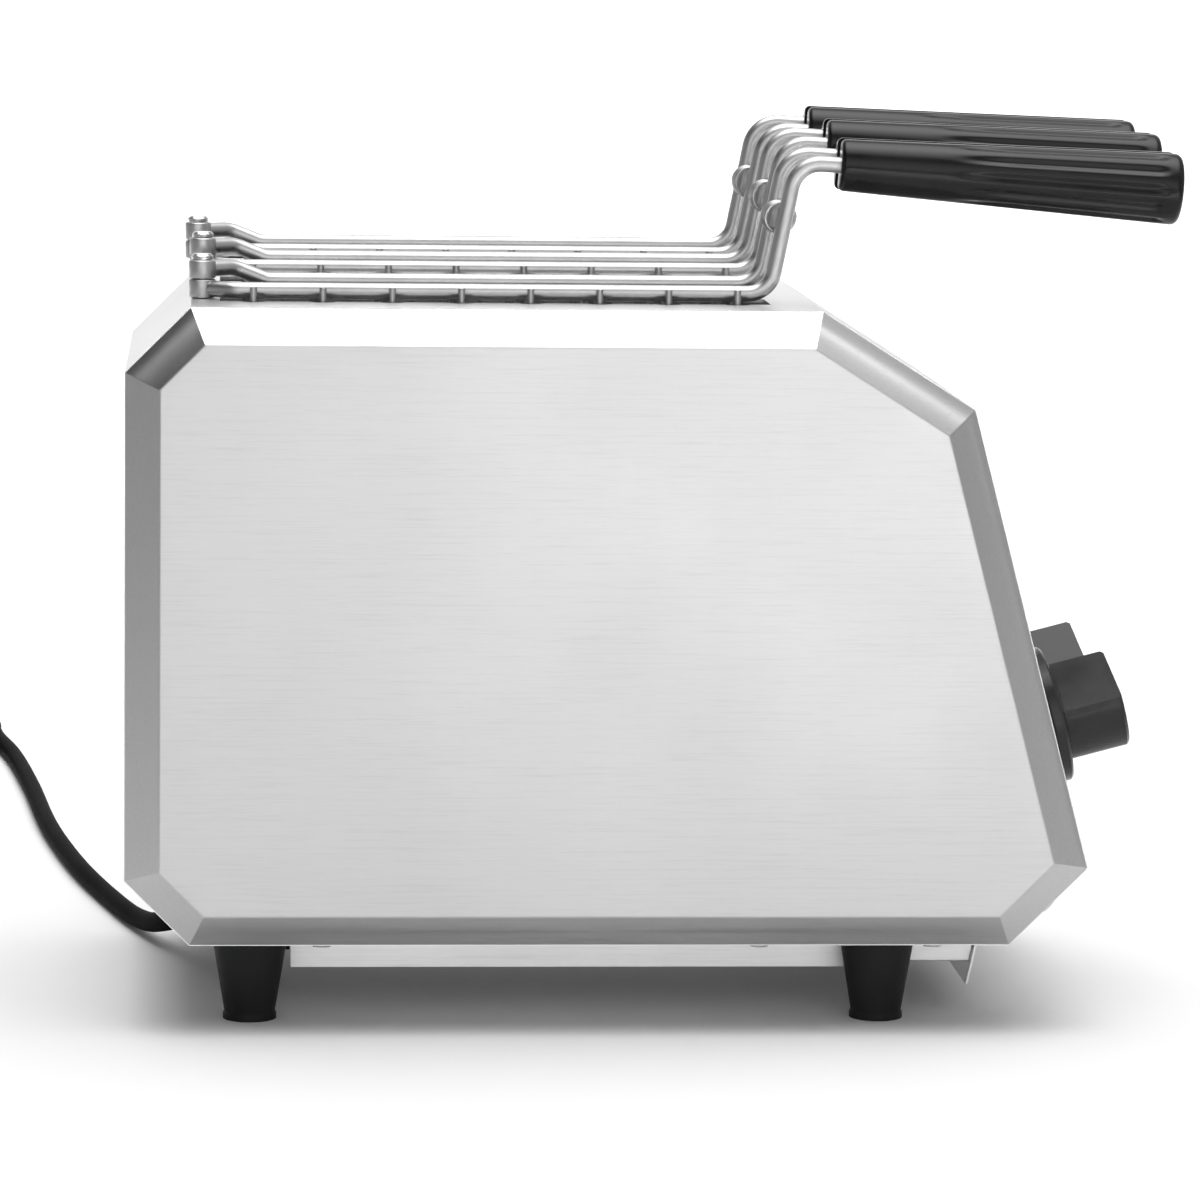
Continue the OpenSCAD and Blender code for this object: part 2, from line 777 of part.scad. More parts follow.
module tong_arm_cage(at) {
    color(CHROME) place() translate(at) union() cage(1, rod_step);
}

// Headed hinge pin, which stands on the deck
module tong_pin(at) {
    low_z = rod_z - eye_h / 2 - at[2];
    head_z = eye_top_z + move_gap;
    color(CHROME) place() translate(at + [hinge_x, 0, 0]) rotate_extrude()
        polygon([[0, low_z], [pin_d / 2, low_z], [pin_d / 2, head_z], [pin_d, head_z],
            [pin_d, head_z + 1.2], [pin_d - 0.8, head_z + 2], [0, head_z + 2]]);
}

// Half-round tapered handle with a rounded end, bored for its rod
module half_grip(at, side, lift) {
    axis_y = side * grip_gap / 2;
    mouth = grip_start - 2 * grip_dir + [0, entry_rise(lift)];
    seat = grip_start + shank_seat * grip_dir + [0, entry_rise(lift)];
    color(BLACK) place() translate(at) difference() {
        translate([grip_start[0], axis_y, grip_start[1]]) rotate([0, 90 + grip_tilt, 0]) difference() {
            rotate_extrude() polygon([[0, 0], [grip_d1 / 2 - 2, 0], [grip_d1 / 2, 2],
                [grip_d2 / 2, grip_len - grip_round], [grip_d2 / 2 - 1, grip_len - 1],
                [grip_d2 / 2 - grip_round, grip_len], [0, grip_len]]);
            translate([-grip_d2, side > 0 ? -2 * grip_d2 : 0, -1])
                cube([2 * grip_d2, 2 * grip_d2, grip_len + 2]);
        }
        translate([0, side * rod_y, 0])
            bar([mouth[0], 0, mouth[1]], [seat[0], 0, seat[1]], rod_d);
    }
}

// Coil spring between the two necks: its turns stand on edge, and a flat half turn at each end
// rests against a rod
module tong_spring(at) {
    turn_steps = 20;
    steps = coil_turns * turn_steps;
    turns = [for (k = [0:steps])
        let (along = (2 * k - steps) / (steps - turn_steps))
        [coil_x + coil_d / 2 * cos(360 * k / turn_steps), coil_reach * max(-1, min(1, along)),
            coil_z + coil_d / 2 * sin(360 * k / turn_steps)]];
    color(CHROME) place() translate(at) tube(turns, coil_wire, 6, [0, 1, 0]);
}

module tong_near_frame() tong_frame(near_place);
module tong_near_cage() tong_cage(near_place);
module tong_near_arm() tong_arm(near_place);
module tong_near_arm_cage() tong_arm_cage(near_place);
module tong_near_grip() half_grip(near_place, -1, 0);
module tong_near_arm_grip() half_grip(near_place, 1, rod_step);
module tong_near_pin() tong_pin(near_place);
module tong_near_spring() tong_spring(near_place);
module tong_mid_frame() tong_frame(mid_place);
module tong_mid_cage() tong_cage(mid_place);
module tong_mid_arm() tong_arm(mid_place);
module tong_mid_arm_cage() tong_arm_cage(mid_place);
module tong_mid_grip() half_grip(mid_place, -1, 0);
module tong_mid_arm_grip() half_grip(mid_place, 1, rod_step);
module tong_mid_pin() tong_pin(mid_place);
module tong_mid_spring() tong_spring(mid_place);
module tong_far_frame() tong_frame(far_place);
module tong_far_cage() tong_cage(far_place);
module tong_far_arm() tong_arm(far_place);
module tong_far_arm_cage() tong_arm_cage(far_place);
module tong_far_grip() half_grip(far_place, -1, 0);
module tong_far_arm_grip() half_grip(far_place, 1, rod_step);
module tong_far_pin() tong_pin(far_place);
module tong_far_spring() tong_spring(far_place);

// Cord and plug

// Moulded elbow and tapered boot on the rear wall of the tray housing
module cord_boot() {
    color(RUBBER) place() translate([0, 0, outlet_z]) union() {
        translate([pan_x, outlet_y, 0]) rotate([0, -90, 0]) cylinder(r = boot_r1, h = boot_stub);
        translate([pan_x - boot_stub, outlet_y + elbow_r, 0]) rotate(-90 - elbow_turn)
            rotate_extrude(angle = elbow_turn) translate([elbow_r, 0]) circle(r = boot_r1);
        translate([elbow_end[0], elbow_end[1], 0]) rotate([0, 90, atan2(boot_dir[1], boot_dir[0])])
            cylinder(r1 = boot_r1, r2 = boot_r2, h = boot_len);
    }
}

// Free cord: straight out of the boot, then curved over the table
module cord() {
    curve = smooth(route, cord_steps);
    path = concat([curve[0]], [for (i = [cord_steps:len(curve) - 1]) curve[i]]);
    color(RUBBER) place() tube(path, cord_d, cord_sides, [0, 0, 1]);
}

// Radius and height of the coil after some turns
function loop_radius(t) = loop_r - loop_step * (loop_turn_back - abs(t - loop_turn_back));
function loop_height(t) = cord_lie + layer_rise * min(1, max(0, (t - loop_low_turns) / loop_climb));
function loop_point(t) = [
    coil_mid[0] + loop_radius(t) * cos(360 * t),
    coil_mid[1] + loop_radius(t) * sin(360 * t),
    loop_height(t)
];
loop_out = loop_point(loop_turns);
loop_out_dir = [-sin(360 * loop_turns), cos(360 * loop_turns)];
plug_start = [loop_out[0] + lead_len * loop_out_dir[0], loop_out[1] + lead_len * loop_out_dir[1], plug_z];
loop_path = concat(
    [for (k = [0:loop_turns * loop_rings]) loop_point(k / loop_rings)],
    [for (k = [1:lead_steps]) let (s = k / lead_steps, e = s * s * (3 - 2 * s))
        [loop_out[0] + s * lead_len * loop_out_dir[0], loop_out[1] + s * lead_len * loop_out_dir[1],
            loop_out[2] + e * (plug_z - loop_out[2])]]
);

// Least gap between two turns of the coil
loop_gap = min([for (i = [0:len(loop_path) - 1]) for (j = [i + loop_rings / 2:1:len(loop_path) - 1])
    norm(loop_path[i] - loop_path[j])]) - cord_d;
echo(coil_self_gap = loop_gap);

module cord_coil() {
    color(RUBBER) place() tube(loop_path, cord_d, loop_sides, [0, 0, 1]);
}

// Round earthed plug lying on its side
plug_r = 19;
plug_boot = 26;
plug_len = 34;
plug_face = plug_boot + plug_len;
blade_gap = 19;
blade_d = 4.8;
blade_seat = 8;
blade_len = 19;

module at_plug() {
    translate(plug_start) rotate([0, 90, atan2(loop_out_dir[1], loop_out_dir[0])]) children();
}

module plug_body() {
    color(RUBBER) place() at_plug() difference() {
        rotate_extrude() polygon([[0, 0], [cord_d / 2 + 1, 0], [cord_d / 2 + 3.5, plug_boot],
            [plug_r - 5, plug_boot + 4], [plug_r, plug_boot + 12], [plug_r, plug_face - 2],
            [plug_r - 2, plug_face], [0, plug_face]]);
        for (side = [-1, 1]) translate([0, side * blade_gap / 2, plug_face - blade_seat])
            cylinder(d = blade_d, h = 2 * blade_seat);
    }
}

module plug_pins() {
    color(CHROME) place() at_plug() for (side = [-1, 1])
        translate([0, side * blade_gap / 2, plug_face - blade_seat])
            cylinder(d = blade_d, h = blade_seat + blade_len);
}

// Drawing
side_panel_near();
side_panel_far();
top_cover();
front_panel();
rear_panel();
base_plate();
tray_housing();
crumb_tray();
feet();
front_bulkhead();
rear_bulkhead();
reflector_near();
reflector_far();
guard_grids();
tubes_near();
tubes_mid_near();
tubes_mid_far();
tubes_far();
tube_caps_front();
tube_caps_rear();
timer_body();
timer_shaft();
timer_knob();
switch_body();
switch_shaft();
switch_knob();
pilot_lamp();
terminal_block();
base_screws();
front_screws();
tong_near_frame();
tong_near_cage();
tong_near_arm();
tong_near_arm_cage();
tong_near_grip();
tong_near_arm_grip();
tong_near_pin();
tong_near_spring();
tong_mid_frame();
tong_mid_cage();
tong_mid_arm();
tong_mid_arm_cage();
tong_mid_grip();
tong_mid_arm_grip();
tong_mid_pin();
tong_mid_spring();
tong_far_frame();
tong_far_cage();
tong_far_arm();
tong_far_arm_cage();
tong_far_grip();
tong_far_arm_grip();
tong_far_pin();
tong_far_spring();
cord_boot();
cord();
cord_coil();
plug_body();
plug_pins();
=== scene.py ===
"""Looks of a countertop sandwich toaster: steel casing, wire tongs, knobs and mains lead.

Lengths in the dataclasses are in millimetres. X is measured from the rear wall, Y from the
middle of the toaster and Z from the table; spot() turns them into the shared frame in metres.
"""

import logging
import math
from dataclasses import dataclass
from enum import Enum

import bpy
import numpy as np
from mathutils import Matrix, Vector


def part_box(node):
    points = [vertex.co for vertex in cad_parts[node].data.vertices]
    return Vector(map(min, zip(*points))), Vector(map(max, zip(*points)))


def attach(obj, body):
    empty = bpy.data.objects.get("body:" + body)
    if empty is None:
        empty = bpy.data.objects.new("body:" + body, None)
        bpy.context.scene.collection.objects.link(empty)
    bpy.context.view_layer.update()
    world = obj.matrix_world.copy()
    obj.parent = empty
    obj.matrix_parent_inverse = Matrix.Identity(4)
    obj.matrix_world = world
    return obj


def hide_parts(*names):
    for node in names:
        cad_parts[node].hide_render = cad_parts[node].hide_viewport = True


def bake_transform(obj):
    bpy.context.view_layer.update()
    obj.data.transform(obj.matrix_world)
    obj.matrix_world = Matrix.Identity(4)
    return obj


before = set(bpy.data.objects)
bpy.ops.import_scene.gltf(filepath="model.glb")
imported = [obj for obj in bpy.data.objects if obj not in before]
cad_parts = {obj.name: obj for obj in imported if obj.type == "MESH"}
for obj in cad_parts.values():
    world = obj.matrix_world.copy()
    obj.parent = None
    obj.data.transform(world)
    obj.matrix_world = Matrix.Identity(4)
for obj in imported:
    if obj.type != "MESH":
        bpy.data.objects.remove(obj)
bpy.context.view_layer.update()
REAR_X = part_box("rear_panel")[0].x
MM = 0.001
WELD_GAP = 0.00001
EASED_FROM = 32
FLAT_WEIGHT = 80
TONG_PLACES = {"near": (0.0, -50.0, 0.0), "mid": (0.0, 0.0, 5.0), "far": (-2.0, 50.0, 7.8)}
LOG = logging.getLogger("toaster")


class Grain(Enum):
    """The way that brush lines run over a sheet."""

    LENGTH = 0
    WIDTH = 1
    HEIGHT = 2


class Side(Enum):
    """The two sides of the toaster, and of a tong, by the sign of Y."""

    NEAR = -1
    FAR = 1


def spot(points: np.ndarray) -> np.ndarray:
    """Moves points from millimetres off the rear wall into the shared frame.

    Args:
        points: an array whose last axis is X, Y and Z in millimetres.

    Returns:
        The same points in metres in the shared frame.
    """
    return np.asarray(points, float) * MM + np.array([REAR_X, 0.0, 0.0])


def unit(vectors: np.ndarray) -> np.ndarray:
    """Scales each vector on the last axis to length one."""
    return vectors / np.linalg.norm(vectors, axis=-1, keepdims=True)


def filleted(points: np.ndarray, radii: np.ndarray, steps: int) -> np.ndarray:
    """Rounds the inner corners of a path with arcs that touch both neighbouring straights.

    Each arc turns from the first tangent point to the second about the centre that lies on the
    corner's bisector, at the radius over the sine of half the corner angle.

    Args:
        points: the path's corners, one row each.
        radii: the bend radius at each inner corner.
        steps: points on each arc.

    Returns:
        The rounded path.
    """
    corner = points[1:-1]
    back, ahead = unit(points[:-2] - corner), unit(points[2:] - corner)
    half = np.arccos(np.clip((back * ahead).sum(1), -1, 1)) / 2
    turn = (math.pi - 2 * half)[:, None, None]
    reach = (radii / np.tan(half))[:, None]
    centre = corner + unit(back + ahead) * (radii / np.sin(half))[:, None]
    first = unit(corner + back * reach - centre)[:, None]
    last = unit(corner + ahead * reach - centre)[:, None]
    s = np.linspace(0, 1, steps)[None, :, None]
    swing = (np.sin((1 - s) * turn) * first + np.sin(s * turn) * last) / np.sin(turn)
    arcs = centre[:, None] + radii[:, None, None] * swing
    return np.concatenate([points[:1], arcs.reshape(-1, points.shape[1]), points[-1:]])


def tube_grid(path: np.ndarray, radius: np.ndarray | float, sides: int, across: tuple) -> np.ndarray:
    """Carries a circle along a path.

    Args:
        path: the points down the middle.
        radius: one radius, or one for each point of the path.
        sides: points round the circle.
        across: a direction that the path never runs along, from which the circles are set out.

    Returns:
        A grid of points, along the path and then round it.
    """
    ahead = unit(np.gradient(path, axis=0))
    side = unit(np.cross(np.array(across, float), ahead))
    up = np.cross(ahead, side)
    angle = np.linspace(0, 2 * math.pi, sides, endpoint=False)[None, :, None]
    size = np.broadcast_to(np.asarray(radius, float), (len(path),))[:, None, None]
    return path[:, None] + size * (np.cos(angle) * side[:, None] + np.sin(angle) * up[:, None])


def ramp(value: np.ndarray, low: float, high: float) -> np.ndarray:
    """Rises smoothly from 0 at low to 1 at high."""
    t = np.clip((value - low) / (high - low), 0, 1)
    return t * t * (3 - 2 * t)


class MeshDraft:
    """Grids of points that together make one mesh."""

    def __init__(self) -> None:
        """Starts with no points."""
        self.points: list[np.ndarray] = []
        self.faces: list[list[int]] = []
        self.count = 0

    def add(self, grid: np.ndarray, wrap_rows: bool = False, caps: bool = False,
            flip: bool = False) -> None:
        """Adds a grid whose columns run round and close on themselves.

        Args:
            grid: points by row and column.
            wrap_rows: the last row also meets the first.
            caps: the first and last rows are closed with a flat face.
            flip: the faces are turned the other way.
        """
        rows, columns = grid.shape[:2]
        index = np.arange(rows * columns).reshape(rows, columns) + self.count
        ring = np.concatenate([index, index[:1]]) if wrap_rows else index
        right = np.roll(ring, -1, axis=1)
        quads = np.stack([ring[:-1], right[:-1], right[1:], ring[1:]], axis=-1).reshape(-1, 4)
        ends = [index[0, ::-1], index[-1]] if caps else []
        self.faces += (quads[:, ::-1] if flip else quads).tolist()
        self.faces += [(end[::-1] if flip else end).tolist() for end in ends]
        self.points.append(grid.reshape(-1, 3))
        self.count += rows * columns

    def build(self, name: str, material: bpy.types.Material, sharp_deg: float = 40) -> bpy.types.Object:
        """Makes the object at the origin.

        Args:
            name: the piece's name.
            material: its finish.
            sharp_deg: edges that turn by more than this stay crisp.

        Returns:
            The new object.
        """
        mesh = bpy.data.meshes.new(name)
        mesh.from_pydata(np.concatenate(self.points).tolist(), [], self.faces)
        mesh.shade_smooth()
        mesh.set_sharp_from_angle(angle=math.radians(sharp_deg))
        mesh.materials.append(material)
        made = bpy.data.objects.new(name, mesh)
        bpy.context.scene.collection.objects.link(made)
        return made


class Bench:
    """A material or world whose nodes are added by kind and wired by name."""

    def __init__(self, owner: bpy.types.ID) -> None:
        """Empties the owner's node tree."""
        owner.use_nodes = True
        self.tree = owner.node_tree
        self.tree.nodes.clear()

    def add(self, kind: str, settings: dict | None = None, **inputs: object) -> bpy.types.Node:
        """Adds a node, and sets or links its inputs.

        Args:
            kind: the node's type without its ShaderNode prefix.
            settings: attributes of the node.
            inputs: values or sockets, by input name with _ for a space, or i0, i1 by place.

        Returns:
            The new node.
        """
        node = self.tree.nodes.new("ShaderNode" + kind)
        for key, value in (settings or {}).items():
            setattr(node, key, value)
        for key, value in inputs.items():
            numbered = key[0] == "i" and key[1:].isdigit()
            socket = node.inputs[int(key[1:]) if numbered else key.replace("_", " ")]
            if isinstance(value, bpy.types.NodeSocket):
                self.tree.links.new(value, socket)
            else:
                socket.default_value = value
        return node

    def noise(self, stretch: tuple, scale: float, detail: float = 4) -> bpy.types.NodeSocket:
        """Noise on Object coordinates, stretched along the axes.

        Args:
            stretch: how dense the pattern is along X, Y and Z.
            scale: features in each metre before the stretch.
            detail: octaves.

        Returns:
            The noise value from 0 to 1.
        """
        where = self.add("TexCoord").outputs["Object"]
        mapped = self.add("Mapping", Vector=where, Scale=stretch).outputs["Vector"]
        return self.add("TexNoise", Vector=mapped, Scale=scale, Detail=detail, Roughness=0.6).outputs["Fac"]

    def span(self, value: bpy.types.NodeSocket, low: float, high: float,
             near: float = 0.3, far: float = 0.7) -> bpy.types.NodeSocket:
        """Maps values between near and far to low and high."""
        made = self.add("MapRange", Value=value, From_Min=near, From_Max=far, To_Min=low, To_Max=high)
        return made.outputs["Result"]

    def tones(self, value: bpy.types.NodeSocket, dark: tuple, light: tuple,
              near: float = 0.3, far: float = 0.7) -> bpy.types.NodeSocket:
        """Colours from dark to light as a value rises.

        Args:
            value: what rises.
            dark: the colour at near and below.
            light: the colour at far and above.
            near: the value where the change starts.
            far: the value where it ends.

        Returns:
            The colour.
        """
        node = self.add("ValToRGB", Fac=value)
        node.color_ramp.elements[0].position = near
        node.color_ramp.elements[0].color = (*dark, 1)
        node.color_ramp.elements[1].position = far
        node.color_ramp.elements[1].color = (*light, 1)
        return node.outputs["Color"]

    def bump(self, height: bpy.types.NodeSocket, strength: float, depth: float,
             under: bpy.types.NodeSocket | None = None) -> bpy.types.NodeSocket:
        """A normal that follows a height."""
        more = {"Normal": under} if under else {}
        return self.add("Bump", Height=height, Strength=strength, Distance=depth, **more).outputs["Normal"]

    def surface(self, **inputs: object) -> None:
        """Ends the tree in one principled shader."""
        shader = self.add("BsdfPrincipled", **inputs)
        self.add("OutputMaterial", Surface=shader.outputs["BSDF"])


def new_bench(name: str) -> tuple[bpy.types.Material, Bench]:
    """Starts a material."""
    material = bpy.data.materials.new(name)
    return material, Bench(material)


@dataclass(frozen=True)
class BrushedSteel:
    """Stainless sheet with fine brush lines one way, and faint marks from handling."""

    name: str
    tone: float
    roughness: float
    grain: Grain
    line_depth: float = 0.00003
    wave: float = 0.0
    stretch: float = 0.0
    fine: tuple[float, float] = (60.0, 2200.0)
    broad: tuple[float, float] = (16.0, 900.0)

    def material(self) -> bpy.types.Material:
        """Long thin noise sets the lines, and broad noise the marks.

        Returns:
            The new material.
        """
        made, bench = new_bench(self.name)
        fine, broad = (tuple(along if axis == self.grain.value else across for axis in range(3))
                       for along, across in (self.fine, self.broad))
        lines = bench.noise(fine, 1, 3)
        streaks = bench.noise(broad, 1, 4)
        marks = bench.noise((1, 1, 1), 14, 3)
        mixed = bench.add("Math", {"operation": "ADD"}, i0=lines, i1=streaks).outputs[0]
        low, high = self.tone * 0.95, min(1.0, self.tone * 1.03)
        colour = bench.tones(mixed, (low, low, low * 1.005), (high, high, high), 0.75, 1.25)
        rough = bench.span(marks, self.roughness - 0.03, self.roughness + 0.04)
        rough = bench.add("Math", {"operation": "MULTIPLY_ADD"}, i0=lines, i1=0.1, i2=rough).outputs[0]
        normal = bench.bump(mixed, 0.2, self.line_depth)
        if self.wave:
            normal = bench.bump(bench.noise((1, 1, 1), 4.5, 1), 1.0, self.wave, normal)
        along = bench.add("Tangent", {"direction_type": "RADIAL", "axis": "Z"}).outputs["Tangent"]
        bench.surface(Base_Color=colour, Metallic=1.0, Roughness=rough, Normal=normal, Tangent=along,
                      Anisotropic=self.stretch, Anisotropic_Rotation=0.25)
        return made


@dataclass(frozen=True)
class Plating:
    """Bright plated wire, a little uneven from drawing and plating."""

    name: str
    tone: float
    roughness: float

    def material(self) -> bpy.types.Material:
        """Fine noise varies the gloss, and broad noise the tone.

        Returns:
            The new material.
        """
        made, bench = new_bench(self.name)
        grit = bench.noise((1, 1, 1), 500, 2)
        cloud = bench.noise((1, 1, 1), 60, 2)
        low, high = self.tone * 0.88, self.tone
        bench.surface(
            Base_Color=bench.tones(cloud, (low, low, low), (high, high, high)),
            Metallic=1.0,
            Roughness=bench.span(grit, self.roughness - 0.04, self.roughness + 0.06),
            Normal=bench.bump(grit, 0.02, 0.00003),
        )
        return made


@dataclass(frozen=True)
class Moulding:
    """Black or coloured moulded plastic with a polished skin."""

    name: str
    tone: tuple[float, float, float]
    roughness: float
    shine: float = 0.5

    def material(self) -> bpy.types.Material:
        """Broad noise dulls the polish in patches, and fine noise leaves a slight orange peel.

        Returns:
            The new material.
        """
        made, bench = new_bench(self.name)
        smear = bench.noise((1, 1, 1), 45, 4)
        peel = bench.noise((1, 1, 1), 420, 2)
        lighter = tuple(min(1.0, c * 1.5 + 0.002) for c in self.tone)
        bench.surface(
            Base_Color=bench.tones(smear, self.tone, lighter),
            Roughness=bench.span(smear, self.roughness - 0.03, self.roughness + 0.07),
            Normal=bench.bump(peel, 0.02, 0.0001),
            Specular_IOR_Level=self.shine,
        )
        return made


@dataclass(frozen=True)
class MattSkin:
    """Rubber, ceramic or plain plastic with a fine matt skin."""

    name: str
    tone: tuple[float, float, float]
    roughness: float
    grit: float
    depth: float
    shine: float = 0.5

    def material(self) -> bpy.types.Material:
        """Fine noise gives the skin, and broad noise paler worn places.

        Returns:
            The new material.
        """
        made, bench = new_bench(self.name)
        skin = bench.noise((1, 1, 1), self.grit, 4)
        worn = bench.noise((1, 1, 1), 30, 3)
        paler = tuple(min(1.0, c * 1.3 + 0.002) for c in self.tone)
        bench.surface(
            Base_Color=bench.tones(worn, self.tone, paler),
            Roughness=bench.span(skin, self.roughness - 0.06, self.roughness + 0.08),
            Normal=bench.bump(skin, 0.3, self.depth),
            Specular_IOR_Level=self.shine,
        )
        return made


@dataclass(frozen=True)
class MilkyGlass:
    """Quartz or lens glass that lets some light through."""

    name: str
    tone: tuple[float, float, float]
    through: float
    roughness: float

    def material(self) -> bpy.types.Material:
        """Fine bubbles vary the tone and the gloss.

        Returns:
            The new material.
        """
        made, bench = new_bench(self.name)
        bubbles = bench.noise((0.2, 1, 1), 700, 3)
        paler = tuple(min(1.0, c * 1.08) for c in self.tone)
        bench.surface(
            Base_Color=bench.tones(bubbles, self.tone, paler),
            Roughness=bench.span(bubbles, self.roughness, self.roughness + 0.08),
            Transmission_Weight=self.through,
            IOR=1.46,
        )
        return made


class Finishes:
    """Every finish of the toaster, made once."""

    def __init__(self) -> None:
        """Builds the materials."""
        self.side_sheet = BrushedSteel("brushed_side_sheet", 0.50, 0.31, Grain.LENGTH,
                                       wave=0.0004, stretch=0.65).material()
        self.top_sheet = BrushedSteel("brushed_top_sheet", 0.66, 0.30, Grain.LENGTH).material()
        self.front_sheet = BrushedSteel("brushed_front_sheet", 0.58, 0.32, Grain.WIDTH,
                                        wave=0.0005).material()
        self.inner_sheet = BrushedSteel("mill_sheet", 0.74, 0.38, Grain.LENGTH).material()
        self.mirror_sheet = BrushedSteel("reflector_sheet", 0.80, 0.16, Grain.HEIGHT, 0.00001).material()
        self.wire = Plating("plated_wire", 0.5, 0.36).material()
        self.fastener = Plating("plated_fastener", 0.60, 0.24).material()
        self.shaft = BrushedSteel("turned_shaft", 0.60, 0.3, Grain.WIDTH).material()
        self.black_moulding = Moulding("black_moulding", (0.006, 0.006, 0.0065), 0.18, 0.22).material()
        self.knob_moulding = Moulding("black_knob_moulding", (0.016, 0.016, 0.0165),
                                      0.2, 0.26).material()
        self.control_case = MattSkin("grey_control_case", (0.16, 0.16, 0.17), 0.55, 500, 0.0001).material()
        self.rubber = MattSkin("black_rubber", (0.012, 0.012, 0.0125), 0.5, 900, 0.00012, 0.1).material()
        self.lead_sheath = MattSkin("black_lead_sheath", (0.002, 0.002, 0.0021), 0.55, 1300,
                                    0.00006, 0.01).material()
        self.ceramic = MattSkin("white_ceramic", (0.74, 0.71, 0.64), 0.62, 800, 0.00012).material()
        self.quartz = MilkyGlass("milky_quartz", (0.82, 0.82, 0.80), 0.55, 0.12).material()
        self.lens = MilkyGlass("orange_lens", (0.80, 0.20, 0.04), 0.35, 0.08).material()


def dress(node: str, material: bpy.types.Material, ease: float = 0.0, steps: int = 3) -> None:
    """Gives a CAD node its finish, and eases its edges.

    Args:
        node: the node's name.
        material: its finish.
        ease: the width of the rounding on its edges in millimetres, or 0 for none.
        steps: faces across the rounding.
    """
    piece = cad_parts[node]
    for holder in piece.material_slots:
        holder.material = material
    if ease:
        weld = piece.modifiers.new("join", "WELD")
        weld.merge_threshold = WELD_GAP
        edge = piece.modifiers.new("ease", "BEVEL")
        edge.width = ease * MM
        edge.segments = steps
        edge.limit_method = "ANGLE"
        edge.angle_limit = math.radians(EASED_FROM)
        piece.modifiers.new("flats", "WEIGHTED_NORMAL").weight = FLAT_WEIGHT
    LOG.info("dressed %s with %s", node, material.name)


def carry(piece: bpy.types.Object, body: str, slot: str, *nodes: str) -> None:
    """Lets a new piece ride on a body in place of CAD nodes.

    Args:
        piece: the new piece.
        body: the body that carries it.
        slot: the name of a material slot; not used.
        nodes: the CAD nodes that it stands for.
    """
    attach(piece, body)
    if nodes:
        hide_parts(*nodes)
    LOG.info("built %s on %s", piece.name, body)


@dataclass
class Casing:
    """The steel shell, with a bevelled pan on each side."""

    corners: tuple = ((24, 32), (328.5, 32), (357.5, 61), (312, 232),
                      (255, 268), (24, 268), (0, 244), (0, 56))
    rim_y: float = 92.5
    bevel: float = 13.0
    sheet: float = 1.2
    corner_r: float = 0.7
    rim_r: float = 0.25
    bend_r: float = 1.6
    arc_points: int = 6
    bend_points: int = 7
    sharp_deg: float = 60

    def outline(self) -> tuple[np.ndarray, np.ndarray]:
        """Rounds the side's outline and gives the way inwards at each of its points.

        Every corner becomes a small arc, and all points of an arc share their corner's mitre,
        the step that moves both of its edges inwards by one.

        Returns:
            The points in X and Z, and the mitres.
        """
        corner = np.array(self.corners, float)
        ahead = unit(np.roll(corner, -1, axis=0) - corner)
        behind = np.roll(ahead, 1, axis=0)
        inward = np.stack([-ahead[:, 1], ahead[:, 0]], axis=1)
        inward_before = np.roll(inward, 1, axis=0)
        mitre = (inward + inward_before) / (1 + (inward * inward_before).sum(1, keepdims=True))
        turn = np.arccos(np.clip((ahead * behind).sum(1), -1, 1))
        centre = corner + mitre * self.corner_r
        s = np.linspace(0, 1, self.arc_points)[None, :, None]
        angle = turn[:, None, None]
        swing = np.sin((1 - s) * angle) * inward_before[:, None] + np.sin(s * angle) * inward[:, None]
        points = centre[:, None] + self.corner_r * -swing / np.sin(angle)
        return points.reshape(-1, 2), np.repeat(mitre, self.arc_points, axis=0)

    def section(self) -> np.ndarray:
        """The pan's section, from its inner face down the bevel, round the rim and up to its outer face.

        The bevel rises by one for each one inwards. The inner side is the outer one moved in by the
        sheet's thickness, which is the thickness times the root of two along the inset.

        Returns:
            Rows of the inset from the outline and the depth beyond the rim's plane.
        """
        through = self.sheet * math.sqrt(2)
        inner, flat = self.bevel - self.sheet, self.bevel + 4 * self.bend_r
        corners = np.array([[inner + through, inner], [through, 0.0], [0.0, 0.0],
                            [self.bevel, self.bevel], [flat, self.bevel]])
        return filleted(corners, np.array([self.rim_r, self.rim_r, self.bend_r]), self.bend_points)

    def pan(self, side: Side, material: bpy.types.Material) -> bpy.types.Object:
        """Carries the section round the outline: each point is the outline moved in along its mitre.

        Args:
            side: which side of the toaster.
            material: its finish.

        Returns:
            The pan as one closed sheet.
        """
        points, mitre = self.outline()
        section = self.section()
        flat = points[None] + section[:, None, :1] * mitre[None]
        depth = np.broadcast_to(section[:, None, 1:], flat.shape[:2] + (1,))
        y = side.value * (self.rim_y + depth)
        grid = spot(np.concatenate([flat[..., :1], y, flat[..., 1:]], axis=-1))
        draft = MeshDraft()
        draft.add(grid, caps=True, flip=side is Side.FAR)
        made = draft.build(f"side_pan_{side.name.lower()}", material, self.sharp_deg)
        made.modifiers.new("flats", "WEIGHTED_NORMAL").weight = FLAT_WEIGHT
        return made

    def build(self, finishes: Finishes) -> None:
        """Makes both pans and dresses the sheets between and below them."""
        for side in Side:
            name = side.name.lower()
            carry(self.pan(side, finishes.side_sheet), "casing", "casing_steel", f"side_panel_{name}")
        dress("top_cover", finishes.top_sheet)
        dress("front_panel", finishes.front_sheet)
        dress("rear_panel", finishes.front_sheet)
        dress("base_plate", finishes.inner_sheet)
        dress("tray_housing", finishes.inner_sheet, 0.4, 2)
        dress("crumb_tray", finishes.inner_sheet, 0.4, 2)
        dress("feet", finishes.rubber, 0.9)
        dress("base_screws", finishes.fastener, 0.5)
        dress("front_screws", finishes.fastener, 0.5)


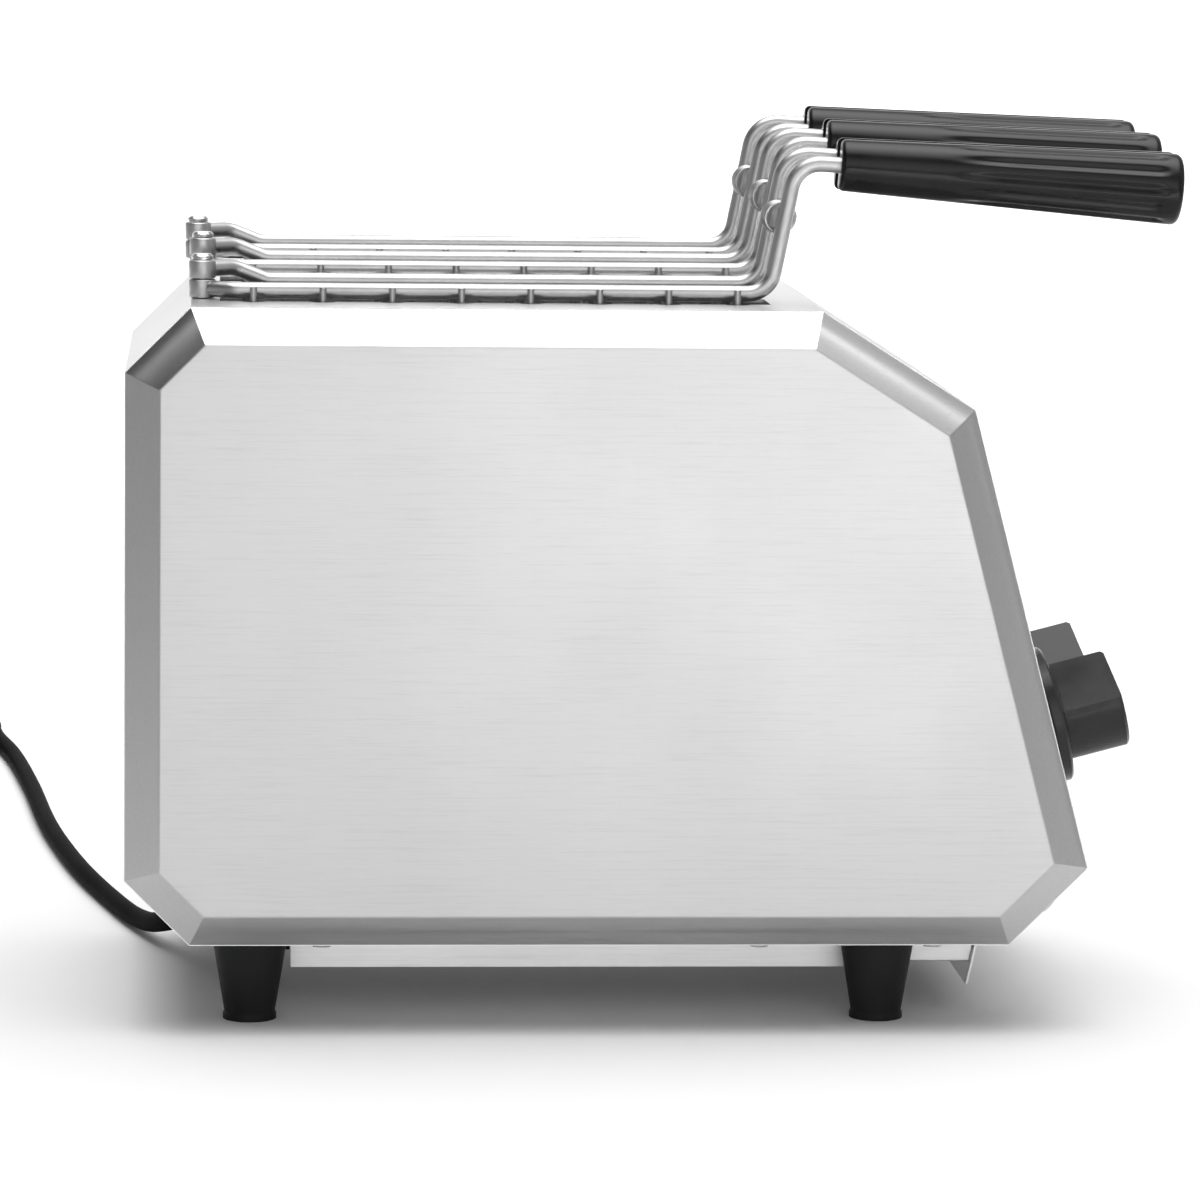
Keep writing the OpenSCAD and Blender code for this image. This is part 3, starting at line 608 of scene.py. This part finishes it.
@dataclass
class Chamber:
    """The heating chamber between the bulkheads."""

    rows: tuple = ("near", "mid_near", "mid_far", "far")

    def build(self, finishes: Finishes) -> None:
        """Dresses the plates, tubes, caps and grids."""
        for end in ("front", "rear"):
            dress(f"{end}_bulkhead", finishes.inner_sheet)
            dress(f"tube_caps_{end}", finishes.ceramic)
        for side in ("near", "far"):
            dress(f"reflector_{side}", finishes.mirror_sheet)
        for row in self.rows:
            dress(f"tubes_{row}", finishes.quartz)
        dress("guard_grids", finishes.wire)
        dress("terminal_block", finishes.ceramic, 0.6)


@dataclass
class Controls:
    """Timer and switch on the sloped front."""

    edge: float = 1.3

    def build(self, finishes: Finishes) -> None:
        """Dresses the knobs, their shafts and what is behind the panel."""
        for control in ("timer", "switch"):
            dress(f"{control}_knob", finishes.knob_moulding, self.edge, 4)
            dress(f"{control}_shaft", finishes.shaft)
            dress(f"{control}_body", finishes.control_case, 0.6)
        dress("pilot_lamp", finishes.lens, 0.4)


@dataclass
class Tong:
    """One sandwich tong: two bent rods on a pin, wire cages, split handle and coil spring."""

    name: str
    place: tuple[float, float, float]
    rod_d: float = 6.0
    rod_y: float = 9.0
    rod_z: float = 271.7
    step: float = 2.4
    hinge_x: float = 28.0
    pin_d: float = 4.0
    eye_d: float = 10.0
    eye_h: float = 6.8
    eye_edge: float = 0.7
    eye_sink: float = 1.5
    eye_steps: tuple[int, int] = (48, 24)
    splay_x: float = 12.0
    level_x: float = 24.0
    bend_points: int = 14
    far_eye_z: float = 278.8
    run_gap: float = 0.05
    bend: tuple = (238.243, 271.7)
    crook: tuple = (247.800, 320.697)
    seat: tuple = (285.962, 318.262)
    seat_rise: float = 2.247
    bend_r: float = 10.0
    crook_r: float = 11.0
    turn_r: float = 8.0
    grip_start: tuple = (264.007, 319.663)
    grip_tilt: float = 3.65
    grip_len: float = 128.0
    grip_d1: float = 20.0
    grip_d2: float = 27.3
    grip_gap: float = 10.0
    grip_round: float = 3.0
    head_round: float = 2.0
    flat_ease: float = 0.6
    flutes: int = 5
    flute_depth: float = 1.0
    flute_fan: float = 62.0
    flute_half: float = 11.5
    flute_start: tuple[float, float] = (0.30, 0.52)
    flute_end: tuple[float, float] = (0.925, 0.955)
    flat_share: float = 0.96
    coil_d: float = 11.0
    coil_wire: float = 1.5
    coil_turns: float = 4.0
    coil_mid: tuple = (242.270, 299.792)
    coil_reach: float = 5.2

    def rod_path(self, side: Side) -> np.ndarray:
        """The middle of one rod, from its eye to its seat in the grip: straights with round bends.

        Args:
            side: which rod.

        Returns:
            The points down the rod.
        """
        far = side is Side.FAR
        lift = self.step if far else 0.0
        eye_z = self.far_eye_z if far else self.rod_z
        y = side.value * self.rod_y
        eye = np.array([self.hinge_x, 0, eye_z])
        turn_in = np.array([self.hinge_x + self.splay_x, y, eye_z])
        inner = eye + unit(turn_in - eye) * (self.eye_d / 2 - self.eye_sink)
        rise = [[self.hinge_x + self.level_x, y, self.rod_z + lift]] if far else []
        corners = [inner, turn_in, *rise, [self.bend[0] - lift, y, self.bend[1] + lift],
                   [self.crook[0] - lift, y, self.crook[1] + lift],
                   [self.seat[0], y, self.seat[1] + (self.seat_rise if far else 0.0)]]
        radii = [self.turn_r] * (len(rise) + 1) + [self.bend_r, self.crook_r]
        return filleted(np.array(corners, float), np.array(radii), self.bend_points)

    def eye_ring(self, z: float, clearance: float) -> np.ndarray:
        """A ring about the pin: a rounded square section turned round the pin's line.

        Args:
            z: the height of its middle.
            clearance: the gap between its bore and the pin.

        Returns:
            The points, round the pin and then round the section.
        """
        edge = self.eye_edge
        around, across = self.eye_steps
        low, high = self.pin_d / 2 + clearance, self.eye_d / 2
        half = self.eye_h / 2
        angle = np.linspace(0, 2 * math.pi, across, endpoint=False)
        middle = np.array([(low + high) / 2, 0])
        reach = np.array([(high - low) / 2 - edge, half - edge])
        way = np.stack([np.cos(angle), np.sin(angle)], axis=1)
        section = middle + np.sign(np.round(way, 6)) * reach + edge * way
        turn = np.linspace(0, 2 * math.pi, around, endpoint=False)[:, None]
        height = np.broadcast_to(z + section[:, 1], self.eye_steps)
        return np.stack([self.hinge_x + section[:, 0] * np.cos(turn), section[:, 0] * np.sin(turn), height],
                        axis=-1)

    def rod(self, side: Side, material: bpy.types.Material) -> bpy.types.Object:
        """One rod with its eye.

        Args:
            side: which rod.
            material: its finish.

        Returns:
            The rod.
        """
        far = side is Side.FAR
        draft = MeshDraft()
        offset = np.array(self.place)
        draft.add(spot(tube_grid(self.rod_path(side), self.rod_d / 2, 24, (0, 1, 0)) + offset), caps=True)
        eye_z = self.far_eye_z if far else self.rod_z
        ring = self.eye_ring(eye_z, self.run_gap if far else 0.0)
        draft.add(spot(ring + offset), wrap_rows=True, flip=True)
        return draft.build(f"tong_{self.name}_rod_{side.name.lower()}", material)

    def grip(self, side: Side, material: bpy.types.Material) -> bpy.types.Object:
        """Half of the handle: a half-round section whose radius grows along the handle.

        The radius is the cone's, less a quarter round at each end and less the flutes. A flute is
        a raised cosine across its width that deepens slowly from the neck and stops short of the end.

        Args:
            side: which half.
            material: its finish.

        Returns:
            The closed half grip.
        """
        length, head, tail = self.grip_len, self.head_round, self.grip_round
        bend = np.linspace(0, math.pi / 2, 9)
        s = np.concatenate([head * (1 - np.cos(bend)), np.linspace(head, length - tail, 58)[1:-1],
                            length - tail + tail * np.sin(bend)])
        cone = np.interp(s, [head, length - tail], [self.grip_d1 / 2, self.grip_d2 / 2])
        before, after = np.clip(head - s, 0, None), np.clip(s - length + tail, 0, None)
        head_drop = head - np.sqrt(head**2 - before**2)
        tail_drop = tail - np.sqrt(np.clip(tail**2 - after**2, 0, None))
        radius = cone - head_drop - tail_drop
        angle = np.linspace(-math.pi / 2, math.pi / 2, 101)
        centres = np.radians(np.linspace(-self.flute_fan, self.flute_fan, self.flutes))
        away = np.abs(angle[:, None] - centres[None]) / math.radians(self.flute_half)
        groove = (0.5 * (1 + np.cos(math.pi * np.clip(away, 0, 1)))).sum(1)
        share = s / length
        run = ramp(share, *self.flute_start) * (1 - ramp(share, *self.flute_end))
        round_r = radius[:, None] - self.flute_depth * run[:, None] * groove[None]
        eased = self.flat_ease * (1 - np.cos(angle)) ** 6
        across = round_r * np.cos(angle)
        upward = (round_r - eased[None]) * np.sin(angle)
        flat_up = radius[:, None] * np.linspace(self.flat_share, -self.flat_share, 9)[None]
        upward = np.concatenate([upward, flat_up], axis=1)
        across = np.concatenate([across, np.zeros_like(flat_up)], axis=1)
        tilt = math.radians(self.grip_tilt)
        ahead = np.array([math.cos(tilt), 0, -math.sin(tilt)])
        up = np.array([math.sin(tilt), 0, math.cos(tilt)])
        out = np.array([0, side.value, 0])
        start = [self.grip_start[0], side.value * self.grip_gap / 2, self.grip_start[1]]
        base = np.array(start) + self.place
        grid = base + s[:, None, None] * ahead + upward[..., None] * up + across[..., None] * out
        draft = MeshDraft()
        draft.add(spot(grid), caps=True, flip=side is Side.NEAR)
        return draft.build(f"tong_{self.name}_handle_{side.name.lower()}", material, 50)

    def spring(self, material: bpy.types.Material) -> bpy.types.Object:
        """The coil spring between the necks: a helix from rod to rod, with a flat half turn at each end.

        Args:
            material: its finish.

        Returns:
            The spring as one tube.
        """
        turn = np.linspace(0, self.coil_turns, int(self.coil_turns * 32) + 1)
        angle = 2 * math.pi * turn
        radius = self.coil_d / 2
        along = np.clip((2 * turn - self.coil_turns) / (self.coil_turns - 1), -1, 1)
        path = np.stack([self.coil_mid[0] + radius * np.cos(angle), self.coil_reach * along,
                         self.coil_mid[1] + radius * np.sin(angle)], axis=1)
        draft = MeshDraft()
        draft.add(spot(tube_grid(path + self.place, self.coil_wire / 2, 12, (0, 1, 0))), caps=True)
        return draft.build(f"tong_{self.name}_coil", material)

    def build(self, finishes: Finishes) -> None:
        """Makes the rods, grips and spring, and dresses the cages and the pin."""
        tong, arm = f"tong_{self.name}", f"tong_{self.name}_arm"
        carry(self.rod(Side.NEAR, finishes.wire), tong, "chrome_wire", f"{tong}_frame")
        carry(self.rod(Side.FAR, finishes.wire), arm, "chrome_wire", f"{tong}_arm")
        carry(self.grip(Side.NEAR, finishes.black_moulding), tong, "black_moulding", f"{tong}_grip")
        carry(self.grip(Side.FAR, finishes.black_moulding), arm, "black_moulding", f"{tong}_arm_grip")
        coil = self.spring(finishes.wire)
        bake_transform(coil)
        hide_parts(f"{tong}_spring")
        dress(f"{tong}_cage", finishes.wire)
        dress(f"{tong}_arm_cage", finishes.wire)
        dress(f"{tong}_pin", finishes.fastener, 0.5)


@dataclass
class MainsLead:
    """The lead from its boot under the toaster to the plug, with the spare length coiled."""

    diameter: float = 8.0
    lie: float = 4.2
    exit: tuple = (31.6216, 19.4173, 22.0)
    exit_way: tuple = (-0.406737, 0.913545, 0.0)
    table: tuple = ((14, 62, 12), (5, 95, 6), (-6, 139, 4.2), (-24, 223, 4.2), (-40, 326, 4.2),
                    (-52, 437, 4.2), (-63, 525, 4.2), (-73, 580, 4.2), (-77, 612, 4.2))
    coil_mid: tuple = (-125.0, 620.0)
    loop_r: float = 48.0
    loop_step: float = 9.0
    turn_back: float = 1.75
    low_turns: float = 1.5
    climb_turns: float = 0.5
    turns: float = 3.25
    layer: float = 8.9
    lead_len: float = 34.0
    plug_z: float = 19.0
    boot_run: float = 8.0

    def free_run(self) -> np.ndarray:
        """A smooth curve through the route's points, by a cubic between each pair.

        Returns:
            The points down the free part of the lead.
        """
        beyond_boot = np.array(self.exit) + self.boot_run * np.array(self.exit_way)
        coil_start = (self.coil_mid[0] + self.loop_r, self.coil_mid[1], self.lie)
        points = np.array([self.exit, beyond_boot, *self.table, coil_start], float)
        padded = np.concatenate([points[:1], points, points[-1:]])
        a, b, c, d = (padded[k:len(padded) - 3 + k, None] for k in range(4))
        t = np.linspace(0, 1, 16, endpoint=False)[None, :, None]
        square, cube = 2 * a - 5 * b + 4 * c - d, 3 * b - a - 3 * c + d
        curve = 0.5 * (2 * b + (c - a) * t + square * t**2 + cube * t**3)
        return curve.reshape(-1, 3)

    def coil(self) -> np.ndarray:
        """Loops that wind inwards, climb one layer and wind out again, then rise to the plug.

        Returns:
            The points down the stored part of the lead.
        """
        t = np.linspace(0, self.turns, int(self.turns * 40) + 1)
        radius = self.loop_r - self.loop_step * (self.turn_back - np.abs(t - self.turn_back))
        height = self.lie + self.layer * np.clip((t - self.low_turns) / self.climb_turns, 0, 1)
        angle = 2 * math.pi * t
        x = self.coil_mid[0] + radius * np.cos(angle)
        y = self.coil_mid[1] + radius * np.sin(angle)
        s = np.linspace(0, 1, 9)[1:]
        way = np.array([-math.sin(angle[-1]), math.cos(angle[-1])])
        run = s * self.lead_len
        rise = ramp(s, 0, 1) * (self.plug_z - height[-1])
        lead = np.stack([x[-1] + run * way[0], y[-1] + run * way[1], height[-1] + rise], axis=1)
        return np.concatenate([np.stack([x, y, height], axis=1), lead])

    def build(self, finishes: Finishes) -> None:
        path = spot(np.concatenate([self.free_run(), self.coil()]))
        draft = MeshDraft()
        draft.add(tube_grid(path, self.diameter / 2 * MM, 16, (0, 0, 1)), caps=True)
        lead = draft.build("mains_lead", finishes.lead_sheath)
        carry(lead, "casing", "black_rubber", "cord", "cord_coil")
        dress("cord_boot", finishes.rubber)
        dress("plug_body", finishes.rubber, 0.8)
        dress("plug_pins", finishes.fastener, 0.6)


@dataclass(frozen=True)
class Lobe:
    """A soft patch of sky: full inside the core's cosine and gone beyond the edge's."""

    toward: tuple[float, float, float]
    amount: float
    edge: float
    core: float


@dataclass(frozen=True)
class SoftBox:
    """A rectangular lamp with a grid that keeps its light inside a spread, in metres and degrees."""

    name: str
    place: tuple[float, float, float]
    aim: tuple[float, float, float]
    size: tuple[float, float]
    power: float
    spread: float


@dataclass
class Studio:
    """White floor, soft light and the photograph's camera."""

    eye: tuple = (-0.161, -2.1, 0.4223)
    pitch: float = 7.396
    yaw: float = 3.963
    roll: float = 0.707
    focal_px: float = 5521.3
    image_px: float = 1200.0
    sensor: float = 36.0
    clip_end: float = 200.0
    floor_size: float = 140.0
    floor_tone: float = 0.72
    dim: float = 0.36
    lobes: tuple[Lobe, ...] = (
        Lobe((0.0, -1.0, 0.05), 1.45, 0.8, 0.98),
        Lobe((0.0, 1.0, 0.1), 1.0, 0.7, 1.0),
        Lobe((-0.7, -0.1, 0.7), -0.36, 0.72, 0.95),
        Lobe((-1.0, 0.0, 0.0), 0.2, 0.85, 0.98),
        Lobe((1.0, -0.1, 0.0), 0.25, 0.85, 0.98),
        Lobe((0.55, -0.1, 0.83), 0.25, 0.8, 0.98),
    )
    boxes: tuple[SoftBox, ...] = (
        SoftBox("overhead", (0.12, 0.1, 1.6), (0.12, 0.1, 0.0), (2.1, 2.4), 3.7, 80.0),
        SoftBox("front", (0.5, -1.55, 1.0), (0.5, -1.55, 0.0), (1.3, 1.5), 11.5, 50.0),
        SoftBox("back", (0.2, 26.0, 1.6), (0.2, 26.0, 0.0), (9.0, 49.8), 6.5, 70.0),
    )

    def camera(self) -> None:
        """Sets the camera by its place and by the turn of its axes, with plain tones."""
        pitch, yaw, roll = (math.radians(a) for a in (self.pitch, self.yaw, self.roll))
        level = math.cos(pitch)
        ahead = np.array([math.sin(yaw) * level, math.cos(yaw) * level, -math.sin(pitch)])
        right = np.array([math.cos(yaw), -math.sin(yaw), 0.0])
        up = np.cross(right, ahead)
        turned = math.cos(roll) * right + math.sin(roll) * up
        upright = -math.sin(roll) * right + math.cos(roll) * up
        made = bpy.data.objects.new("camera", bpy.data.cameras.new("camera"))
        made.data.sensor_width = self.sensor
        made.data.lens = self.focal_px / self.image_px * self.sensor
        made.data.clip_end = self.clip_end
        axes = np.stack([turned, upright, -ahead], axis=1)
        made.matrix_world = Matrix.Translation(self.eye) @ Matrix(axes.tolist()).to_4x4()
        bpy.context.scene.collection.objects.link(made)
        bpy.context.scene.camera = made
        bpy.context.scene.view_settings.view_transform = "Standard"

    def sky(self) -> None:
        """Dim light from every direction, with soft lobes that add light or take it away.

        A lobe rises with the cosine between its own direction and the light's.
        """
        world = bpy.data.worlds.new("studio")
        bpy.context.scene.world = world
        bench = Bench(world)
        way = bench.add("TexCoord").outputs["Generated"]
        total = bench.add("Value").outputs[0]
        total.default_value = self.dim
        for lobe in self.lobes:
            toward = tuple(unit(np.array(lobe.toward)))
            dot = bench.add("VectorMath", {"operation": "DOT_PRODUCT"}, i0=way, i1=toward)
            share = bench.span(dot.outputs["Value"], 0.0, lobe.amount, lobe.edge, lobe.core)
            total = bench.add("Math", {"operation": "ADD"}, i0=total, i1=share).outputs[0]
        light = bench.add("Background", Color=(1.0, 1.0, 1.0, 1.0), Strength=total)
        bench.add("OutputWorld", Surface=light.outputs["Background"])

    def hang(self) -> None:
        """Hangs each soft box and turns it to what it lights."""
        for box in self.boxes:
            lamp = bpy.data.lights.new(box.name, "AREA")
            lamp.shape = "RECTANGLE"
            lamp.size, lamp.size_y = box.size
            lamp.energy = box.power * box.size[0] * box.size[1]
            lamp.spread = math.radians(box.spread)
            made = bpy.data.objects.new(box.name, lamp)
            back = unit(np.array(box.place) - np.array(box.aim))
            right = unit(np.cross(np.array([0.0, 1.0, 0.01]), back))
            axes = np.stack([right, np.cross(back, right), back], axis=1)
            made.matrix_world = Matrix.Translation(box.place) @ Matrix(axes.tolist()).to_4x4()
            bpy.context.scene.collection.objects.link(made)

    def floor(self) -> None:
        """A plain white floor that runs out of view."""
        half = self.floor_size / 2
        mesh = bpy.data.meshes.new("floor")
        corners = [(-half, -half, 0), (half, -half, 0), (half, half, 0), (-half, half, 0)]
        mesh.from_pydata(corners, [], [(0, 1, 2, 3)])
        material, bench = new_bench("white_floor")
        tone = self.floor_tone
        bench.surface(Base_Color=(tone, tone, tone, 1.0), Roughness=0.9, Specular_IOR_Level=0.2)
        mesh.materials.append(material)
        made = bpy.data.objects.new("floor", mesh)
        bpy.context.scene.collection.objects.link(made)

    def build(self) -> None:
        """Makes the whole studio."""
        self.camera()
        self.sky()
        self.hang()
        self.floor()


def main() -> None:
    """Builds the studio and the toaster."""
    logging.basicConfig(level=logging.INFO, format="%(message)s")
    Studio().build()
    finishes = Finishes()
    MainsLead().build(finishes)
    Casing().build(finishes)
    Chamber().build(finishes)
    Controls().build(finishes)
    for name, place in TONG_PLACES.items():
        Tong(name, place).build(finishes)


if __name__ == "__main__":
    main()
